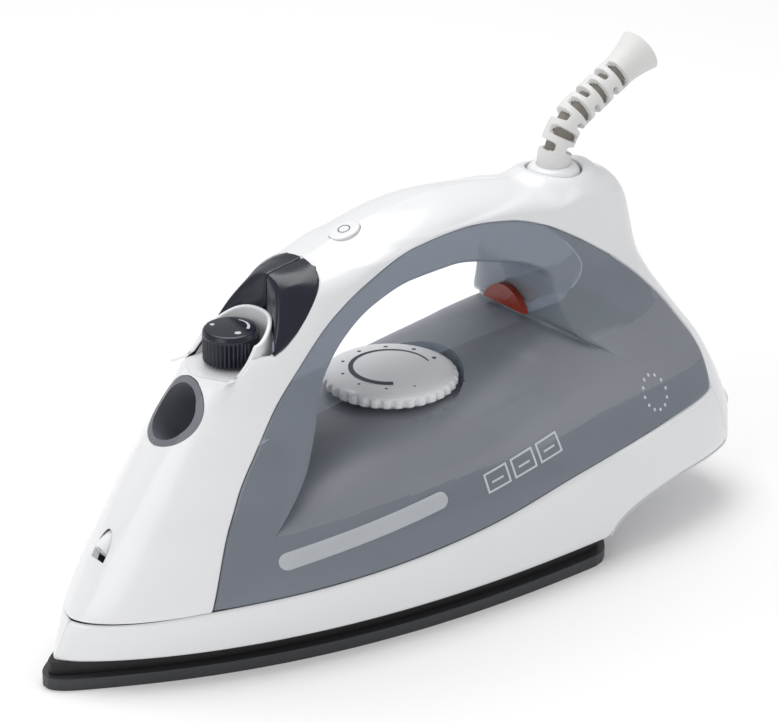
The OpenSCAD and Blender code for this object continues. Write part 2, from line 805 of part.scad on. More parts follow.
in_frame() soleplate();
in_frame() heating_element();
in_frame() steam_chamber_cover();
in_frame() valve_seat();
in_frame() heat_shield();
in_frame() skirt();
in_frame() water_tank();
in_frame() tank_base();
in_frame() handle_shell();
in_frame() top_cover();
in_frame() rear_cover();
in_frame() heel_feet();
in_frame() fill_spout();
in_frame() spray_nozzle();
in_frame() spray_hose();
in_frame() burst_hose();
in_frame() steam_knob();
in_frame() valve_stem();
in_frame() stem_gland();
in_frame() spray_button();
in_frame() burst_button();
in_frame() spray_plunger();
in_frame() burst_plunger();
in_frame() spray_pump();
in_frame() burst_pump();
in_frame() spray_spring();
in_frame() burst_spring();
in_frame() reset_button();
in_frame() reset_switch();
in_frame() reset_spring();
in_frame() temperature_dial();
in_frame() dial_shaft();
in_frame() thermostat();
in_frame() pilot_lens();
in_frame() pilot_lamp();
in_frame() cord_swivel();
in_frame() bend_relief();
in_frame() swivel_retainer();
in_frame() terminal_block();
in_frame() auto_off_board();
in_frame() thermal_fuse();
in_frame() lead_wires();
in_frame() soleplate_screws();
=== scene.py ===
"""Steam iron: the looks of its shells, controls and trims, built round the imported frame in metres."""

import math

import bmesh
import bpy
import numpy as np
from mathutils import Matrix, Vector


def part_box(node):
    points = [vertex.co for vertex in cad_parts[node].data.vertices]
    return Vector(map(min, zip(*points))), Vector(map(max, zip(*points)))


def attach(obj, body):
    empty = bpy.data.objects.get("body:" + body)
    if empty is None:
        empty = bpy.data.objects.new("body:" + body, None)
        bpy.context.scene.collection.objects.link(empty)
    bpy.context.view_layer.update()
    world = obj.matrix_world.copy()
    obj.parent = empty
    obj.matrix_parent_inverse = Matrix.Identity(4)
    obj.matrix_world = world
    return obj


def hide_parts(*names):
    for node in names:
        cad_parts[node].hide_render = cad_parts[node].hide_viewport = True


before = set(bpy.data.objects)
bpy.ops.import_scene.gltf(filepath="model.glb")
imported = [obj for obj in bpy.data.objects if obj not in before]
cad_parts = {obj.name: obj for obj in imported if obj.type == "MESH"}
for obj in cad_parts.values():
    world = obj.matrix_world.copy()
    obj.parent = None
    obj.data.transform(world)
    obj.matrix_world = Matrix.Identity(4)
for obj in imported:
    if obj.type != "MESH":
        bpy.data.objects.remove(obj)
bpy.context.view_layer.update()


# ---------------------------------------------------------------------------------------------
# Camera, floor and studio light.
# A long lens looks down on the iron's nose and near side. The floor is one pale sheet that runs
# out of sight, and large soft boxes stand over it and to both sides.
# ---------------------------------------------------------------------------------------------
aim = Vector((0.0303, 0.0, 0.0723))
turn, lift, stand_off = math.radians(-39.31), math.radians(25.03), 1.0
toward = Vector((math.sin(turn) * math.cos(lift), -math.cos(turn) * math.cos(lift), math.sin(lift)))
camera_data = bpy.data.cameras.new("camera")
camera_data.lens = 139.2
camera_data.sensor_width = 36.0
camera = bpy.data.objects.new("camera", camera_data)
camera.location = aim + toward * stand_off
camera.rotation_euler = (-toward).to_track_quat("-Z", "Y").to_euler()
bpy.context.scene.collection.objects.link(camera)
bpy.context.scene.camera = camera


def soft_box(name, place, size, watts):
    """A square area light at a place, turned to the middle of the iron."""
    data = bpy.data.lights.new(name, "AREA")
    data.shape = "SQUARE"
    data.size = size
    data.energy = watts
    lamp = bpy.data.objects.new(name, data)
    lamp.location = place
    lamp.rotation_euler = (aim - Vector(place)).to_track_quat("-Z", "Y").to_euler()
    bpy.context.scene.collection.objects.link(lamp)


soft_box("overhead_box", (0.15, 0.35, 1.25), 0.9, 9.0)
soft_box("front_box", (-1.2, -0.2, 0.75), 0.8, 4.5)
soft_box("side_box", (0.9, -0.9, 0.8), 0.5, 1.5)

world = bpy.data.worlds.new("studio")
bpy.context.scene.world = world
world.use_nodes = True
world.node_tree.nodes["Background"].inputs["Color"].default_value = (1.0, 1.0, 1.0, 1.0)
world.node_tree.nodes["Background"].inputs["Strength"].default_value = 0.55
bpy.context.scene.view_settings.view_transform = "Standard"


def new_material(name, **settings):
    """A node material with these Principled sockets set; returns (material, tree, shader)."""
    made = bpy.data.materials.new(name)
    made.use_nodes = True
    tree = made.node_tree
    shader = tree.nodes["Principled BSDF"]
    for socket, value in settings.items():
        shader.inputs[socket.replace("_", " ")].default_value = value
    return made, tree, shader


floor_paper, floor_tree, floor_shader = new_material("floor_paper", Roughness=0.9)
floor_shader.inputs["Specular IOR Level"].default_value = 0.1
floor_grain = floor_tree.nodes.new("ShaderNodeTexNoise")
floor_grain.inputs["Scale"].default_value = 3.0
floor_tone = floor_tree.nodes.new("ShaderNodeMix")
floor_tone.data_type = "RGBA"
floor_tone.inputs["A"].default_value = (0.93, 0.93, 0.935, 1.0)
floor_tone.inputs["B"].default_value = (0.955, 0.955, 0.955, 1.0)
floor_tree.links.new(floor_grain.outputs["Fac"], floor_tone.inputs["Factor"])
floor_tree.links.new(floor_tone.outputs["Result"], floor_shader.inputs["Base Color"])
floor_mesh = bpy.data.meshes.new("floor")
floor_half = 6.0
floor_mesh.from_pydata([(-floor_half, -floor_half, 0.0), (floor_half, -floor_half, 0.0),
                        (floor_half, floor_half, 0.0), (-floor_half, floor_half, 0.0)],
                       [], [(0, 1, 2, 3)])
floor_mesh.materials.append(floor_paper)
floor = bpy.data.objects.new("floor", floor_mesh)
bpy.context.scene.collection.objects.link(floor)


# ---------------------------------------------------------------------------------------------
# Top cover: the white moulding that runs from the nose over the handle to the cord outlet.
# Injection-moulded gloss polypropylene, 2.2 mm thick, clipped to the grey shells along one long
# part line on each side.
# ---------------------------------------------------------------------------------------------
tip_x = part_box("soleplate")[0][0]       # the sole's tip: stations are millimetres behind it
wall = 2.2


def smooth_table(v, rows):
    """A curve through (position, value) rows, as cubics whose slopes are the harmonic means of the
    chords on both sides, so that it never overshoots a row."""
    rows = np.asarray(rows, float)
    x, y = rows[:, 0], rows[:, 1]
    h = np.diff(x)
    chord = np.diff(y) / h
    same = chord[1:] * chord[:-1] > 0
    safe = np.where(same, chord[1:] + chord[:-1], 1.0)
    middle = np.where(same, 2 * chord[1:] * chord[:-1] / safe, 0.0)
    slope = np.concatenate(([chord[0]], middle, [chord[-1]]))
    v = np.clip(np.asarray(v, float), x[0], x[-1])
    i = np.clip(np.searchsorted(x, v) - 1, 0, len(h) - 1)
    t = (v - x[i]) / h[i]
    return ((1 + 2 * t) * (1 - t) ** 2 * y[i] + t * (1 - t) ** 2 * h[i] * slope[i]
            + t * t * (3 - 2 * t) * y[i + 1] + t * t * (t - 1) * h[i] * slope[i + 1])


def nose_x(z):
    """Station of the nose line at a height: a parabola up to the knob, then the handle's front."""
    low = 3.5 + 0.545 * (z - 9.4) + 0.00178 * (z - 9.4) ** 2
    high = smooth_table(z, [(95, 63.2), (102, 71), (111, 81), (118, 90), (119.5, 102), (121, 111), (123, 117),
                            (125, 124), (127, 134.5), (128.2, 146), (128.8, 154)])
    return np.where(z <= 95, low, high)


def rear_x(z):
    """Station of the rear line at a height."""
    return smooth_table(z, [(20, 268), (30, 268), (40, 266), (50, 263), (59, 260), (66, 256.5), (73, 252.5),
                            (80.5, 248), (91, 243), (105, 240.5), (115, 238), (120, 232), (122, 224),
                            (123, 199), (125, 189), (127, 178), (128.2, 166), (128.8, 158)])


def top_z(x):
    """Height of the iron's upper line at a station."""
    return smooth_table(x, [(40, 66), (63.2, 95), (71, 102), (81, 111), (90, 118), (102, 119.5), (111, 121),
                            (117, 123), (124, 125), (134.5, 127), (146, 128.2), (156, 128.8), (166, 128.2),
                            (178, 127), (189, 125), (199, 123), (224, 122), (232, 120), (238, 115),
                            (240.5, 105), (248, 80)])


def rise(t, power):
    """Grows from 0 to 1 as t does, rounded at the start by the power."""
    return (1 - (1 - np.clip(t, 0, 1)) ** 2.3) ** power


def flare(z):
    """Half width of the iron at a height, clear of its rounded ends."""
    return smooth_table(z, [(9, 52.2), (24, 52), (36, 50.6), (45, 48), (53, 44), (60, 38.5), (67, 32.5),
                            (74, 28), (84, 23.2), (95, 20.4), (105, 19), (120, 18), (130, 18)])


def rear_power(z):
    """How bluntly the back is rounded in plan: blunt low down, rounder at the handle."""
    return 0.145 + 0.1 * np.clip((z - 60) / 50, 0, 1)


def half_width(x, z):
    """Half width of the outer skin: the flare times a rounding at nose, at rear and, on top, in section."""
    length = smooth_table(z, [(4, 186), (9, 180), (24, 165), (45, 150), (58, 115), (70, 80), (82, 58),
                              (93, 42), (105, 35), (130, 35)])
    power = smooth_table(z, [(4, 0.85), (9, 0.76), (24, 0.58), (45, 0.56), (60, 0.52), (80, 0.45),
                             (130, 0.45)])
    front = rise((x - nose_x(z)) / length, power)
    back = rise((rear_x(z) - x) / 80, rear_power(z))
    crown = np.where(z > 90, rise((top_z(x) - z) / 8, 0.5), 1.0)
    return flare(z) * front * back * crown


def along(keys, n):
    """n points on a smooth curve through key points, each key the same number of steps apart."""
    keys = np.asarray(keys, float)
    s = np.linspace(0, len(keys) - 1, n)
    k = np.arange(len(keys))
    return np.stack([smooth_table(s, np.stack([k, keys[:, c]], 1)) for c in range(keys.shape[1])], -1)


def even_rows(rows, n, gather=None):
    """Each row of points resampled to n, evenly by length, or as the fractions in gather say."""
    share = np.linspace(0, 1, n) if gather is None else gather
    out = np.empty((len(rows), len(share), 3))
    for i, row in enumerate(rows):
        run = np.concatenate(([0], np.cumsum(np.linalg.norm(np.diff(row, axis=0), axis=1))))
        for c in range(3):
            out[i, :, c] = np.interp(share * run[-1], run, row[:, c])
    return out


def grid_normals(P):
    """Unit normals of a grid of points, from its two directions."""
    n = np.cross(np.gradient(P, axis=0), np.gradient(P, axis=1))
    return n / np.maximum(np.linalg.norm(n, axis=-1, keepdims=True), 1e-9)


def roll_edge(P, radius, face):
    """Bends the first and last columns of a grid inwards by a quarter round of the radius, where
    face = (row, column, direction) is a place on the grid and the way out from there."""
    N = grid_normals(P)
    r, c, way = face
    N = N if N[r, c] @ way > 0 else -N
    run = np.cumsum(np.linalg.norm(np.diff(P, axis=1), axis=2), axis=1)
    run = np.concatenate([np.zeros((len(P), 1)), run], 1)
    for gap in (run, run[:, -1:] - run):
        near = np.clip(1 - gap / radius, 0, 1)
        P = P - N * (radius * (1 - np.sqrt(1 - near ** 2)))[..., None]
    return P


def grid_mesh(P, face=None, wrap=False):
    """(points, quads) of a grid; face = (row, column, direction) turns the quads to look that way,
    and wrap closes the last column onto the first."""
    rows, cols = P.shape[:2]
    i, j = np.meshgrid(np.arange(rows - 1), np.arange(cols if wrap else cols - 1), indexing="ij")
    jj = (j + 1) % cols
    quads = np.stack([i * cols + j, (i + 1) * cols + j, (i + 1) * cols + jj, i * cols + jj], -1)
    quads = quads.reshape(-1, 4)
    if face is not None:
        r, c, way = face
        normal = np.cross(P[r + 1, c] - P[r, c], P[r, (c + 1) % cols] - P[r, c])
        if normal @ np.asarray(way, float) < 0:
            quads = quads[:, ::-1]
    return P.reshape(-1, 3), quads


def add_piece(name, parts, material, sharp=45, thick=0.0):
    """A mesh object from one or more (points, faces), in millimetres behind the sole's tip: merged where
    they meet, given a wall inwards if thick, smooth with sharp corners above an angle."""
    points, faces, start = [], [], 0
    for p, f in parts:
        points.append(np.asarray(p, float))
        faces += [[int(k) + start for k in face] for face in f]
        start += len(p)
    placed = np.concatenate(points) * 0.001 + (tip_x, 0, 0)
    mesh = bpy.data.meshes.new(name)
    mesh.from_pydata(placed.tolist(), [], faces)
    merge_close(mesh)
    mesh.polygons.foreach_set("use_smooth", np.ones(len(mesh.polygons), bool))
    mesh.materials.append(material)
    piece = bpy.data.objects.new(name, mesh)
    bpy.context.scene.collection.objects.link(piece)
    if thick:
        shell = piece.modifiers.new("wall", "SOLIDIFY")
        shell.thickness = thick * 0.001
        shell.offset = -1.0
        bake_modifiers(piece)
    piece.data.set_sharp_from_angle(angle=math.radians(sharp))
    return piece


def merge_close(mesh, reach=1e-6):
    """Joins a mesh's points that lie closer than the reach, and drops faces left without area."""
    work = bmesh.new()
    work.from_mesh(mesh)
    bmesh.ops.remove_doubles(work, verts=work.verts, dist=reach)
    bmesh.ops.dissolve_degenerate(work, edges=work.edges, dist=reach)
    work.to_mesh(mesh)
    work.free()


def bake_modifiers(piece):
    """Replaces a piece's mesh by what its modifiers make of it, and drops them."""
    solved = piece.evaluated_get(bpy.context.evaluated_depsgraph_get())
    mesh = bpy.data.meshes.new_from_object(solved)
    piece.modifiers.clear()
    old = piece.data
    piece.data = mesh
    bpy.data.meshes.remove(old)


def cut_out(piece, cutters):
    """Takes closed (points, faces) solids out of a closed piece."""
    tools = []
    for k, (p, f) in enumerate(cutters):
        tool = add_piece("cutter_%d" % k, [(p, f)], piece.data.materials[0])
        recalc_outward(tool.data)
        tools.append(tool)
        cut = piece.modifiers.new("cut", "BOOLEAN")
        cut.operation = "DIFFERENCE"
        cut.solver = "MANIFOLD"
        cut.object = tool
    bake_modifiers(piece)
    for tool in tools:
        bpy.data.objects.remove(tool)


def recalc_outward(mesh):
    """Turns all faces of a closed mesh to look outwards."""
    work = bmesh.new()
    work.from_mesh(mesh)
    bmesh.ops.recalc_face_normals(work, faces=work.faces)
    work.to_mesh(mesh)
    work.free()


def drum_faces(n):
    """Faces of a closed solid between two rings of n points: both ends, then the sides."""
    sides = [[k, (k + 1) % n, n + (k + 1) % n, n + k] for k in range(n)]
    return [list(range(n))[::-1], list(range(n, 2 * n))] + sides


def prism(outline, low, high):
    """A closed solid: a plan outline carried upwards from low to high."""
    outline = np.asarray(outline, float)
    n = len(outline)
    p = np.zeros((2 * n, 3))
    p[:n, :2], p[:n, 2] = outline, low
    p[n:, :2], p[n:, 2] = outline, high
    return p, drum_faces(n)


def trench(floor_line, half, top):
    """A closed block over a side-view floor line, as wide as twice half, up to a height."""
    p = np.array([[(x, -half, z), (x, half, z), (x, half, top), (x, -half, top)]
                  for x, z in floor_line], float)
    points, quads = grid_mesh(p, wrap=True)
    last = 4 * (len(floor_line) - 1)
    return points, [list(q) for q in quads] + [[3, 2, 1, 0], [last, last + 1, last + 2, last + 3]]


def bar(centre, along_axis, across, half_a, half_b, depth, n=64):
    """A closed oval bar through a centre: along_axis is its axis, across its first width direction,
    depth where it starts and ends on the axis."""
    w = np.asarray(along_axis, float) / np.linalg.norm(along_axis)
    u = np.asarray(across, float) / np.linalg.norm(across)
    v = np.cross(w, u)
    a = np.linspace(0, 2 * np.pi, n, endpoint=False)[:, None]
    ring = half_a * np.cos(a) * u + half_b * np.sin(a) * v
    p = np.concatenate([centre + ring + w * depth[0], centre + ring + w * depth[1]])
    return p, drum_faces(n)


# Part line between cover and grey shells, and the point of the centre line that each key faces
split_keys = [(44, 24.6), (50.5, 42), (58.5, 58.5), (66, 68.5), (75, 79.5), (87, 92), (102, 105),
              (117.5, 113.5), (137, 120), (157, 121.4), (177, 118.6), (192, 113.3), (207, 105), (224, 93.7)]
crown_keys = [(10.2, 21.5), (22.8, 41), (34.3, 58), (43.6, 71), (53.2, 83), (64.4, 96), (82, 112),
              (105, 120), (130, 126.3), (157, 128.9), (185, 126), (209, 122.8), (234, 120.5), (242.5, 106)]
cover_rows = 260
split_line = along(split_keys, cover_rows)
crown_line = along(crown_keys, cover_rows)


def skin_side(start, end, n):
    """Rows on the near side of the skin along straight side-view lines from start to where the skin
    closes on the centre line, found by halving."""
    low = np.full(len(start), 0.6)
    high = np.full(len(start), 1.5)
    for _ in range(40):
        mid = (low + high) / 2
        q = start + (end - start) * mid[:, None]
        inside = (q[:, 0] > nose_x(q[:, 1])) & (q[:, 0] < rear_x(q[:, 1])) & (q[:, 1] < top_z(q[:, 0]))
        low = np.where(inside, mid, low)
        high = np.where(inside, high, mid)
    t = 1 - (1 - np.linspace(0, 1, n)) ** 5
    q = start[:, None, :] + (end - start)[:, None, :] * (low[:, None] * t)[..., None]
    y = half_width(q[..., 0], q[..., 1])
    y[:, -1] = 0
    return np.stack([q[..., 0], -y, q[..., 1]], -1)


def mirrored(rows):
    """Rows from one side to the centre line, carried on to the other side."""
    return np.concatenate([rows, rows[:, -2::-1] * (1, -1, 1)], 1)


swivel_x = 212.0                        # middle of the cord's outlet
mound_r, mound_h, mound_soft = 12.5, 2.6, 4.2      # the raised collar round it
cover = mirrored(even_rows(skin_side(split_line, crown_line, 400), 70,
                           np.concatenate([np.linspace(0, 0.03, 6)[:-1], np.linspace(0.03, 1, 65)])))
reach = np.hypot(cover[..., 0] - swivel_x, cover[..., 1] * 1.1)
mound = mound_h * np.exp(-((reach - mound_r) / mound_soft) ** 2)
cover[..., 2] += np.where(cover[..., 2] > 112, mound, 0.0)
cover_face = (60, 5, (0, -1, 0))
cover = roll_edge(cover, 0.8, cover_face)


def two_tone(name, first, second, scale, bump=0.05, reach=0.0002, grain=None, detail=3.0, **settings):
    """Noise between two near tones of a colour, and a fine bump, on object coordinates."""
    made, tree, shader = new_material(name, **settings)
    place = tree.nodes.new("ShaderNodeTexCoord")
    cloud = tree.nodes.new("ShaderNodeTexNoise")
    cloud.inputs["Scale"].default_value = scale
    cloud.inputs["Detail"].default_value = detail
    tone = tree.nodes.new("ShaderNodeMix")
    tone.data_type = "RGBA"
    tone.inputs["A"].default_value = (*first, 1.0)
    tone.inputs["B"].default_value = (*second, 1.0)
    fine = tree.nodes.new("ShaderNodeTexNoise")
    fine.inputs["Scale"].default_value = grain or scale * 9
    dent = tree.nodes.new("ShaderNodeBump")
    dent.inputs["Strength"].default_value = bump
    dent.inputs["Distance"].default_value = reach
    tree.links.new(place.outputs["Object"], cloud.inputs["Vector"])
    tree.links.new(place.outputs["Object"], fine.inputs["Vector"])
    tree.links.new(cloud.outputs["Fac"], tone.inputs["Factor"])
    tree.links.new(tone.outputs["Result"], shader.inputs["Base Color"])
    tree.links.new(fine.outputs["Fac"], dent.inputs["Height"])
    tree.links.new(dent.outputs["Normal"], shader.inputs["Normal"])
    return made


gloss_white = two_tone("gloss_white", (0.79, 0.80, 0.82), (0.82, 0.825, 0.84), 26.0, 0.02, 0.0004, 240.0,
                       Roughness=0.2)
white_shader = gloss_white.node_tree.nodes["Principled BSDF"]
white_shader.inputs["Subsurface Weight"].default_value = 0.06
white_shader.inputs["Subsurface Radius"].default_value = (0.004, 0.004, 0.004)
white_shader.inputs["Subsurface Scale"].default_value = 0.5

top_cover = add_piece("top_cover_moulding", [grid_mesh(cover, cover_face)], gloss_white, thick=wall)

# Openings: the knob's ledge, the two caps, the filling hole, the nozzle, the reset button and the swivel
knob_x, knob_z, pocket_r = 75.5, 90.0, 11.6
above = 140                             # a height clear of the whole cover
turn_a = np.linspace(-np.pi / 2, np.pi / 2, 33)
ledge = np.concatenate([[(40, -pocket_r)], np.stack([knob_x + pocket_r * np.cos(turn_a),
                                                     pocket_r * np.sin(turn_a)], 1), [(40, pocket_r)]])
cap_line = [(72, 97.0), (80.2, 97.0), (84, 98.8), (89, 102.6), (93, 106.7), (98, 112.6), (101.6, 116.2),
            (104.2, 119.6), (104.6, 122)]
fill_centre, fill_out = np.array((51.7, 0, 81.5)), np.array((-0.783, 0, 0.622))
fill_up = np.array((0.622, 0, 0.783))
nozzle_root, nozzle_out = np.array((29.0, 0, 45.0)), np.array((-0.80, 0, -0.60))
sideways = np.array((0, 1.0, 0))
reset_at, reset_out = np.array((121.5, 0, 124.2)), np.array((-0.292, 0, 0.956))
reset_u = np.array((0.956, 0, 0.292))
front_line = [(30, 91.2), (61, 91.2), (66, 91.4), (69.5, 92.6), (72.5, 95.4), (75.5, 99.8)]
cut_out(top_cover, [
    prism(ledge, front_line[0][1], above),
    trench(front_line, 30, above),
    trench(cap_line, 30, above),
    bar(fill_centre, fill_out, fill_up, 12.3, 10.8, (-12, 14)),
    bar(nozzle_root, nozzle_out, sideways, 3.3, 3.3, (-10, 10), 32),
    bar(reset_at, reset_out, reset_u, 5.7, 4.7, (-6, 6)),
    bar(np.array((swivel_x, 0, 120.0)), (0, 0, 1), (1, 0, 0), 9.95, 9.95, (-14, 20)),
])
top_cover.data.set_sharp_from_angle(angle=math.radians(40))
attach(top_cover, "housing")
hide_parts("top_cover")


# ---------------------------------------------------------------------------------------------
# Grey shells: the tank with its deck, and the handle with the rear post.
# Both are tinted see-through mouldings, polished outside and frosted on the deck, that meet in a
# flush joint. Their surface is one ring round the finger gap: part line, skin, gap, skin, part line.
# ---------------------------------------------------------------------------------------------
outer_keys = [*split_keys, (238, 82), (248, 70), (253, 56), (251, 44.4), (221, 41.6),
              (179, 36.3), (141, 30.4), (107, 27.2), (81, 25.8), (60, 25.1), (44, 24.6)]
inner_keys = [(67.1, 45.2), (69.5, 47.6), (75.5, 54.8), (82, 62.4), (88.2, 72), (94.5, 84.8),
              (105, 96.7), (119, 105.1), (136, 109.5), (154, 110.1), (172, 105.6), (186, 100.8),
              (195.5, 93.5), (197.6, 83), (201.5, 73), (210.5, 66.5), (221, 59.4), (216, 58.9),
              (200, 57.3), (172, 54), (138, 50.2), (108, 47.9), (87.5, 46.6), (74, 45.7), (67.1, 45.2)]
gap_keys = [(92, 57.3), (92, 58.6), (92, 63), (92.3, 68), (94, 76), (98.8, 85.6), (107.5, 94.5),
            (120, 102.2), (136, 105.6), (153, 106), (170, 104), (183, 100.5), (191, 94.5), (193, 86),
            (193.2, 79.5), (193.2, 77.8), (193, 76.6), (190.5, 76.1), (181, 74), (163, 69.5),
            (138, 63.8), (114, 62.2), (101, 60), (95, 58.2), (92, 57.3)]
round_keys = [2.5, 2.5, 2.5, 2.5, 2.2, 2, 2, 2, 2, 2, 2, 2, 2, 2, 2.5, 3, 3.5, 4, 5, 5.5, 5.5, 5.5, 5, 4,
              2.5]             # how widely the corner between skin and gap is rounded
per_key = 28
valley = 16                    # the key where the post meets the deck


def ring_rows(first, last):
    """Rows of the grey ring between two keys: on the skin from the part line to the gap's edge, then
    across to the middle as straight lines bent by a power of the width, and mirrored."""
    keep = slice(first * per_key, last * per_key + 1)
    n = (len(outer_keys) - 1) * per_key + 1
    outer = along(outer_keys, n)[keep]
    inner = along(inner_keys, n)[keep]
    middle = along(gap_keys, n)[keep]
    bend = along(np.array(round_keys)[:, None], n)[keep]
    outer = outer + (np.array((150, 75)) - outer) * 0.0022
    t = np.linspace(0, 1, 60)[None, :, None]
    q = outer[:, None] * (1 - t) + inner[:, None] * t
    skin = np.stack([q[..., 0], -half_width(q[..., 0], q[..., 1]), q[..., 1]], -1)
    edge = skin[:, -1]
    v = np.linspace(1, 0, 60)
    px = 2.0 + 1.0 * np.clip((inner[:, :1] - 190) / 10, 0, 1)
    x = middle[:, :1] + (edge[:, :1] - middle[:, :1]) * v ** px
    z = middle[:, 1:] + (edge[:, 2:] - middle[:, 1:]) * v ** 3
    cross = np.stack([x, edge[:, 1:2] * v, z], -1)
    rows = np.concatenate([skin, cross[:, 1:]], 1)
    run = np.concatenate([np.zeros((len(rows), 1)),
                          np.cumsum(np.linalg.norm(np.diff(rows, axis=1), axis=2), axis=1)], 1)
    out = np.empty((len(rows), 100, 3))
    for i, row in enumerate(rows):
        corner, r, total = run[i, 59], min(bend[i, 0], run[i, 59] * 0.6), run[i, -1]
        s = np.concatenate([np.linspace(0, corner - r, 40)[:-1],
                            np.linspace(corner - r, corner + r, 20)[:-1],
                            np.linspace(corner + r, total, 42)])
        at, a, b = (np.stack([np.interp(k, run[i], row[:, c]) for c in range(3)], -1)
                    for k in (s, corner - r, corner + r))
        w = np.clip((s - corner + r) / (2 * r), 0, 1)[:, None]
        soft = (1 - w) ** 2 * a + 2 * w * (1 - w) * row[59] + w ** 2 * b
        out[i] = np.where((np.abs(s - corner) <= r)[:, None], soft, at)
    return mirrored(out)


def smoke_plastic(name, see_through, rough, dark):
    """Tinted clear plastic: a glossy dark coat over a share of plain see-through."""
    made = two_tone(name, dark, [c * 1.12 for c in dark], 34.0, rough, 0.00012, 1400.0, 2.0,
                    Roughness=rough, IOR=1.5)
    tree = made.node_tree
    clear = tree.nodes.new("ShaderNodeBsdfTransparent")
    clear.inputs["Color"].default_value = (0.62, 0.68, 0.76, 1.0)
    both = tree.nodes.new("ShaderNodeMixShader")
    both.inputs["Fac"].default_value = see_through
    tree.links.new(tree.nodes["Principled BSDF"].outputs["BSDF"], both.inputs[1])
    tree.links.new(clear.outputs["BSDF"], both.inputs[2])
    tree.links.new(both.outputs["Shader"], tree.nodes["Material Output"].inputs["Surface"])
    return made


smoke_polished = smoke_plastic("smoke_polished", 0.34, 0.12, (0.25, 0.275, 0.32))
smoke_frosted = smoke_plastic("smoke_frosted", 0.14, 0.36, (0.22, 0.235, 0.265))
dial_x, dial_floor, dial_well = 140.6, 63.4, 24.6
snap = 0.7                              # how far a point may be drawn onto the well's edge
edge_round = 0.7


def grey_shell(name, first, last, node):
    """One grey moulding between two keys of the ring, with the dial's round well sunk in the deck: rows
    near the well's edge are drawn onto its circle, and those inside it go down to its floor."""
    rows = ring_rows(first, last)
    off = np.maximum(np.hypot(rows[..., 0] - dial_x, rows[..., 1]), 0.1)
    on_deck = (rows[..., 2] > 60) & (rows[..., 2] < 75)
    rim = on_deck & (np.abs(off - dial_well) < snap)
    pull = np.where(rim, dial_well / off, 1.0)
    rows[..., 0] = dial_x + (rows[..., 0] - dial_x) * pull
    rows[..., 1] = rows[..., 1] * pull
    sunk = np.minimum(rows[..., 2], dial_floor)
    rows[..., 2] = np.where(on_deck & (off < dial_well - snap), sunk, rows[..., 2])
    face = (len(rows) // 2, 20, (0, -1, 0))
    rows = roll_edge(rows, edge_round, face)
    shell = add_piece(name, [grid_mesh(rows, face)], smoke_polished, sharp=50)
    shell.data.materials.append(smoke_frosted)
    centres = np.empty(len(shell.data.polygons) * 3)
    shell.data.polygons.foreach_get("center", centres)
    normals = np.empty(len(shell.data.polygons) * 3)
    shell.data.polygons.foreach_get("normal", normals)
    centres = centres.reshape(-1, 3)
    frosted = (centres[:, 2] < 0.079) & (normals.reshape(-1, 3)[:, 2] > 0.55)
    shell.data.polygons.foreach_set("material_index", frosted.astype(int))
    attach(shell, "housing")
    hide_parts(node)


grey_shell("tank_shell", valley, len(outer_keys) - 1, "water_tank")
grey_shell("handle_and_post", 0, valley, "handle_shell")


# ---------------------------------------------------------------------------------------------
# Skirt: the white band above the black gap, from the nose round both sides, with the raised heel.
# Moulded in heat-proof plastic and screwed to the soleplate. A flat panel closes the heel below.
# ---------------------------------------------------------------------------------------------
skirt_front, skirt_back, heel_from = 3.3, 259.5, 195
heel_keys = [(heel_from, 9), (198, 12), (202.5, 15), (210, 17.6), (218, 19.4), (234, 21.3),
             (skirt_back, 21.6)]
skirt_top = [(skirt_front, 20.9), (10.2, 21.5), (44, 24.5), (81, 25.7), (107, 27.1), (141, 30.3),
             (179, 36.2), (221, 41.5), (251, 44.2), (260, 44.6)]
ahead = np.linspace(0, 1, 150)
around = np.concatenate([-ahead[::-1][:-1] ** 1.8, ahead ** 1.8])
station = skirt_front + (skirt_back - skirt_front) * np.abs(around)
bottom = np.where(station < heel_from, 9.0, smooth_table(station, heel_keys))
climb = np.linspace(0, 1, 22)[:, None]
skirt_z = bottom + (smooth_table(station, skirt_top) - bottom) * climb
nose_lean = (nose_x(skirt_z) - skirt_front) * np.clip(1 - station / 256, 0, 1) ** 3
back_lean = (skirt_z - 21.6) / 22.8 * 8.5 * np.clip((station - 225) / 34.5, 0, 1) ** 2
skirt_x = station + nose_lean - back_lean
skirt_half = half_width(np.maximum(skirt_x, nose_x(skirt_z)), skirt_z)
skirt_rows = np.stack([skirt_x, np.sign(around) * skirt_half, skirt_z], -1)
skirt_rows[:, len(ahead) - 1, 1] = 0
skirt_face = (30, 10, (0, -1, 0))
skirt_rows = roll_edge(skirt_rows.transpose(1, 0, 2), edge_round, skirt_face)
heel_at = np.linspace(heel_from, skirt_back, 40)[:, None]
heel_z = smooth_table(heel_at, heel_keys)
across = np.linspace(-1, 1, 31)
heel_rows = np.stack(np.broadcast_arrays(heel_at, half_width(heel_at, heel_z) * across,
                                         heel_z + 0.25 * (1 - across ** 8)), -1)
skirt = add_piece("skirt_band", [grid_mesh(skirt_rows, skirt_face),
                                 grid_mesh(heel_rows, (20, 15, (0, 0, -1)))], gloss_white, sharp=50)
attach(skirt, "housing")
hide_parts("skirt")


